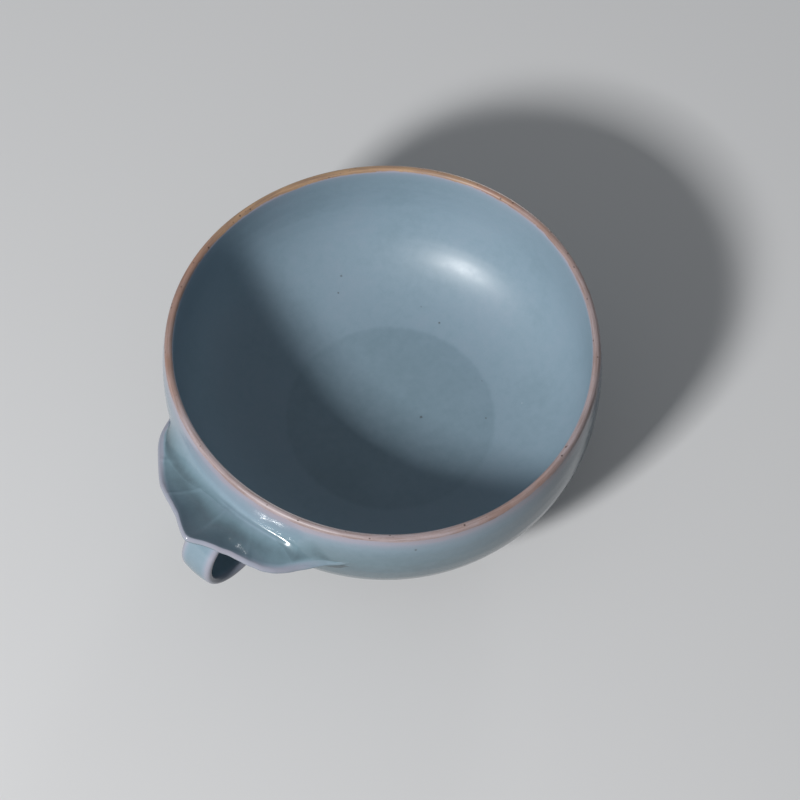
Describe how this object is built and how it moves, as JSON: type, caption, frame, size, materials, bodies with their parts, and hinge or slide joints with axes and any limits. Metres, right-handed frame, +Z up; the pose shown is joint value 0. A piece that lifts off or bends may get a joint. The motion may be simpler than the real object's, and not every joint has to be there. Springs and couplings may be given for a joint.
{
  "type": "handled cup",
  "caption": "Low round stoneware cup in pale blue-green glaze, with a turned foot, a leaf-shaped thumb plate and a strap finger ring under it.",
  "frame": {"origin": "on the table, under the middle of the whole outline; the bowl's axis stands 7.3 mm behind it", "axes": "+X out of the bowl through the thumb plate and finger ring, +Z up out of the cup's mouth"},
  "size_m": [0.1146, 0.0994, 0.0415],
  "materials": {
    "bowl_glaze": "satin gloss celadon glaze, bare fired lip and foot",
    "plate_glaze": "satin gloss celadon glaze, pooled between ridges, thin and pale on edges",
    "ring_glaze": "satin gloss celadon glaze, thin and pale on edges",
    "slip_glaze": "satin gloss celadon glaze over clay slip"
  },
  "bodies": {
    "root": {"bowl": "bowl_glaze", "thumb_plate": "plate_glaze", "plate_slip_seam": "slip_glaze", "finger_ring": "ring_glaze", "ring_upper_slip_seam": "slip_glaze", "ring_lower_slip_seam": "slip_glaze"}
  },
  "joints": []
}
